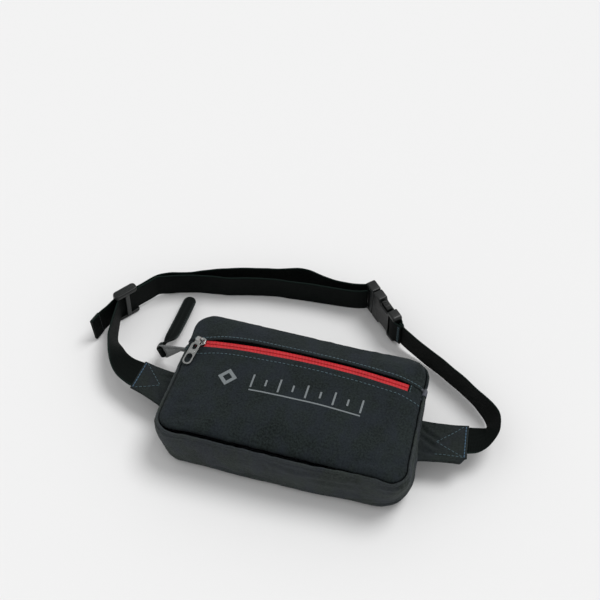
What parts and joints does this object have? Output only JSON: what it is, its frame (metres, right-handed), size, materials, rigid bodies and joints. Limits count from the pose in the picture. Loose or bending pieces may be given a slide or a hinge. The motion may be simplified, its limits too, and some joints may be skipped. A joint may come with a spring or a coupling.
{
  "type": "hip bag",
  "caption": "Soft zipped hip bag lying on its back, with a webbing waist belt, side-release buckle and strap slider.",
  "frame": {"origin": "centre of the bag's flat back face, on the surface it lies on", "axes": "+X along the bag, +Y towards the zipped top edge, +Z out of the front face"},
  "size_m": [0.3644, 0.2057, 0.0572],
  "materials": {
    "front_cloth": "fine weave, matte",
    "gusset_cloth": "waxed canvas",
    "back_mesh": "open mesh",
    "foam": "closed-cell foam",
    "lining": "plain lining cloth",
    "binding_tape": "ribbed tape",
    "webbing": "ribbed webbing",
    "tab_webbing": "woven tape",
    "main_zip_tape": "zip tape with coil",
    "red_zip_tape": "zip tape",
    "zip_metal": "dull plated metal",
    "buckle_plastic": "moulded, fine grain"
  },
  "bodies": {
    "bag": {"back_panel": "back_mesh", "back_foam": "foam", "back_binding": "binding_tape", "bottom_gusset": "gusset_cloth", "top_gusset_back": "front_cloth", "main_zip_back_tape": "main_zip_tape", "front_lower_panel": "front_cloth", "front_zip_lower_tape": "red_zip_tape", "front_zip_upper_tape": "red_zip_tape", "front_zip_stop": "zip_metal", "pocket_divider": "lining", "left_wing": "gusset_cloth", "right_wing": "gusset_cloth"},
    "mouth_flap": {"top_gusset_front": "front_cloth", "main_zip_front_tape": "main_zip_tape", "front_upper_panel": "front_cloth"},
    "front_slider": {"front_zip_slider": "zip_metal"},
    "front_puller": {"front_puller": "zip_metal"},
    "main_slider": {"main_zip_slider": "zip_metal"},
    "main_puller": {"main_puller": "zip_metal"},
    "pull_tab": {"pull_tab": "tab_webbing"},
    "belt": {"left_strap": "webbing", "belt_tail": "webbing", "tail_hem": "webbing", "belt_inner_run": "webbing", "belt_inner_end": "webbing", "belt_outer_run": "webbing", "belt_outer_end": "webbing", "right_strap": "webbing", "right_loop": "webbing", "buckle_female": "buckle_plastic"},
    "strap_slider": {"strap_slider": "buckle_plastic"},
    "buckle_plug": {"buckle_male": "buckle_plastic", "strap_bight": "webbing"},
    "upper_prong": {"upper_prong": "buckle_plastic"},
    "lower_prong": {"lower_prong": "buckle_plastic"}
  },
  "joints": [
    {"name": "front_zip_travel", "type": "hinge", "parent": "bag", "child": "front_slider", "pos_m": [0.012, 0.0292, -0.3928], "axis": [0, 1, 0], "range_deg": [0, 22]},
    {"name": "front_puller_lift", "type": "hinge", "parent": "front_slider", "child": "front_puller", "pos_m": [-0.09279, 0.0292, 0.05059], "axis": [-0.9443, 0.2419, -0.2232], "range_deg": [0, 140]},
    {"name": "main_zip_travel", "type": "hinge", "parent": "bag", "child": "main_slider", "pos_m": [-0.07635, 0.034, 0.026], "axis": [0, 0, -1], "range_deg": [0, 90]},
    {"name": "main_puller_swing", "type": "hinge", "parent": "main_slider", "child": "main_puller", "pos_m": [-0.10625, 0.032, 0.026], "axis": [0, 0, 1], "range_deg": [-28, 24]},
    {"name": "pull_tab_swing", "type": "hinge", "parent": "main_puller", "child": "pull_tab", "pos_m": [-0.13, 0.032, 0.01475], "axis": [-0.3243, 0, 0.9459], "range_deg": [-14, 20]},
    {"name": "mouth_open", "type": "hinge", "parent": "bag", "child": "mouth_flap", "pos_m": [0, 0.0283, 0.0575], "axis": [1, 0, 0], "range_deg": [0, 30]},
    {"name": "belt_swing", "type": "hinge", "parent": "bag", "child": "belt", "pos_m": [-0.1394, -0.0014, 0.022], "axis": [0.9989, 0.0475, 0], "range_deg": [0, 110]},
    {"name": "strap_slider_travel", "type": "slide", "parent": "belt", "child": "strap_slider", "axis": [0.6, 0.8, 0], "range_m": [0, 0.02]},
    {"name": "buckle_release", "type": "slide", "parent": "belt", "child": "buckle_plug", "axis": [-0.7071, 0.7071, 0], "range_m": [0, 0.028], "deforming": ["belt_inner_end", "belt_outer_end", "upper_prong", "lower_prong"]},
    {"name": "upper_prong_squeeze", "type": "hinge", "parent": "buckle_plug", "child": "upper_prong", "pos_m": [0.03477, 0.13473, 0.02805], "axis": [0.7071, 0.7071, 0], "range_deg": [0, 9], "stiffness_Nm_per_rad": 0.6},
    {"name": "lower_prong_squeeze", "type": "hinge", "parent": "buckle_plug", "child": "lower_prong", "pos_m": [0.03477, 0.13473, 0.00535], "axis": [-0.7071, -0.7071, 0], "range_deg": [0, 9], "stiffness_Nm_per_rad": 0.6}
  ]
}
